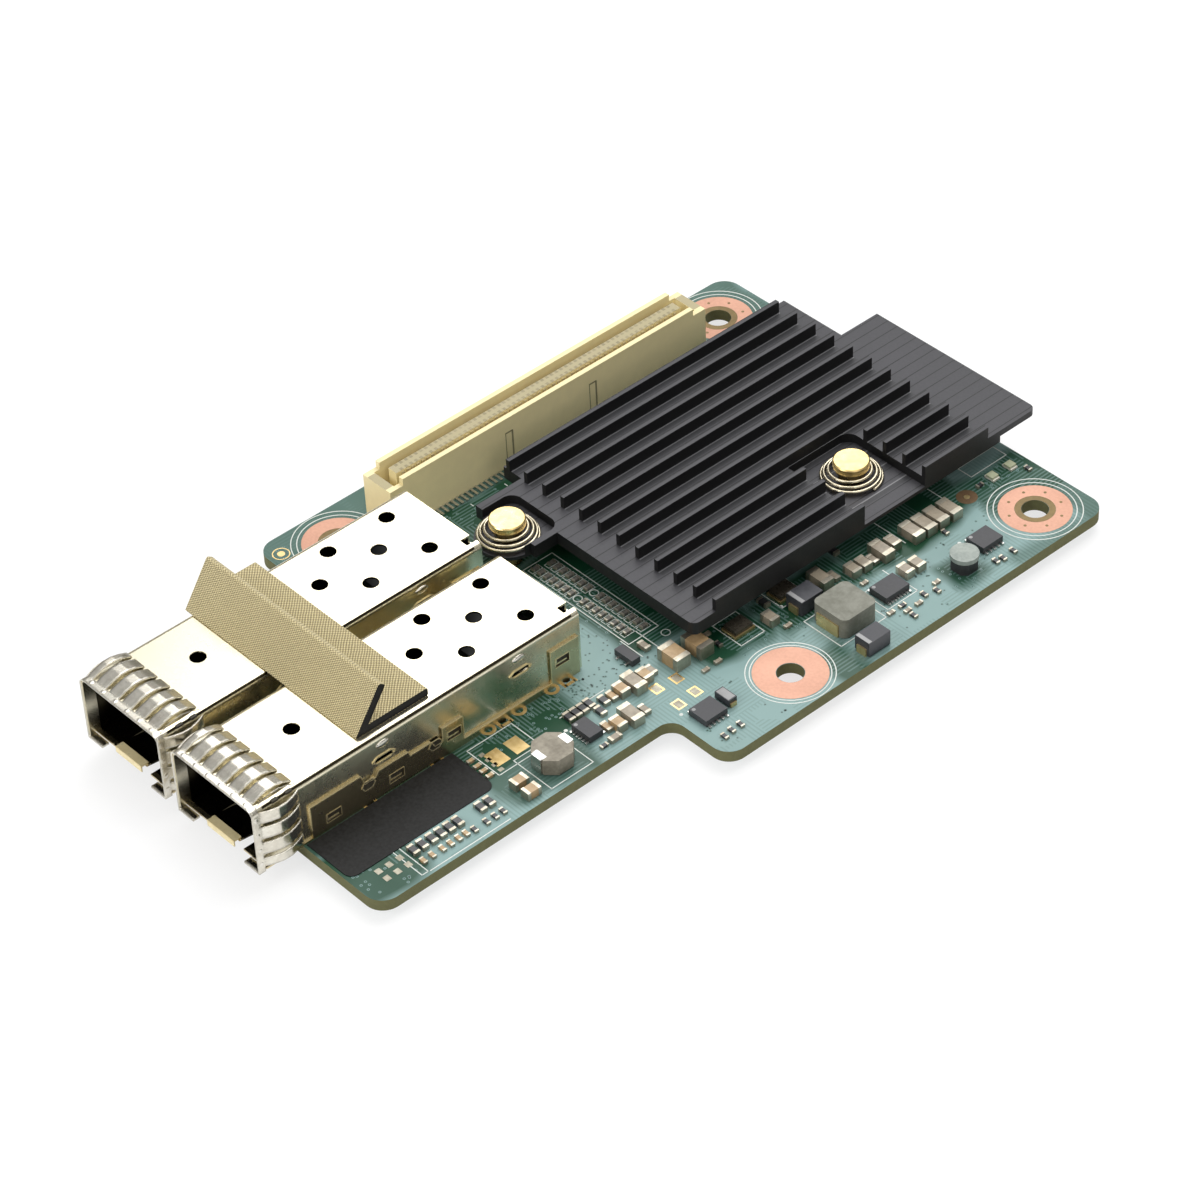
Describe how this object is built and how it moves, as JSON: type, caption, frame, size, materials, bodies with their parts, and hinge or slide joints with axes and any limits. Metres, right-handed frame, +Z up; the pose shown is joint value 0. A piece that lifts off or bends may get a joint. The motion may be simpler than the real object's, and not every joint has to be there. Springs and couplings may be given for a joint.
{
  "type": "mezzanine network card",
  "caption": "Notched circuit board with side-by-side pluggable-module cages, a board-to-board connector and a finned heat sink on sprung pins.",
  "frame": {"origin": "axis of the mounting hole at the back edge on the connector side, at the component face of the board", "axes": "+X across the card from the board-to-board connector towards the power supply, +Y from the port mouths towards the back edge, +Z up from the component side of the board"},
  "size_m": [0.068, 0.118, 0.018],
  "materials": {
    "board": "satin solder mask over glass-fibre laminate",
    "nickel": "bright nickel plate",
    "spring_steel": "bright spring steel",
    "black_plastic": "moulded",
    "gold": "thin gold plate",
    "ivory_plastic": "moulded",
    "black_anodised": "black anodised",
    "brass": "satin",
    "solder": "bright tin",
    "substrate": "satin laminate",
    "chip_metal": "satin",
    "paste": "matte",
    "seal_fabric": "woven, metallised",
    "foam": "open foam",
    "black_film": "satin film",
    "tan_ceramic": "glazed ceramic",
    "grey_ceramic": "glazed ceramic",
    "resistor_black": "glazed",
    "mould_black": "moulded epoxy",
    "ferrite": "pressed iron powder",
    "lamp_white": "moulded",
    "lamp_lens": "clear moulding"
  },
  "bodies": {
    "root": {"circuit_board": "board", "cage_cover_1": "nickel", "cage_cover_2": "nickel", "cage_tray_1": "nickel", "cage_tray_2": "nickel", "cage_collar_1": "spring_steel", "cage_collar_2": "spring_steel", "port_connector_1": "black_plastic", "port_connector_2": "black_plastic", "port_contacts_1": "gold", "port_contacts_2": "gold", "mezzanine_connector": "ivory_plastic", "mezzanine_contacts": "gold", "mezzanine_tails": "solder", "heat_sink": "black_anodised", "push_pins": "brass", "pin_springs": "spring_steel", "chip_ball_layer": "solder", "chip_substrate": "substrate", "chip_cap": "chip_metal", "thermal_pad": "paste", "seal_fabric": "seal_fabric", "seal_foam": "foam", "insulating_film": "black_film", "tan_capacitors": "tan_ceramic", "grey_capacitors": "grey_ceramic", "coupling_field": "grey_ceramic", "chip_resistors": "resistor_black", "chip_ends": "solder", "chip_packages": "mould_black", "package_leads": "solder", "diodes": "mould_black", "diode_straps": "solder", "crystal_bases": "mould_black", "crystal_lids": "gold", "power_inductor": "ferrite", "power_inductor_straps": "solder", "output_inductor": "ferrite", "output_inductor_straps": "solder", "drum_inductor": "ferrite", "drum_inductor_base": "mould_black", "lamp_bases": "lamp_white", "lamp_lenses": "lamp_lens"}
  },
  "joints": []
}
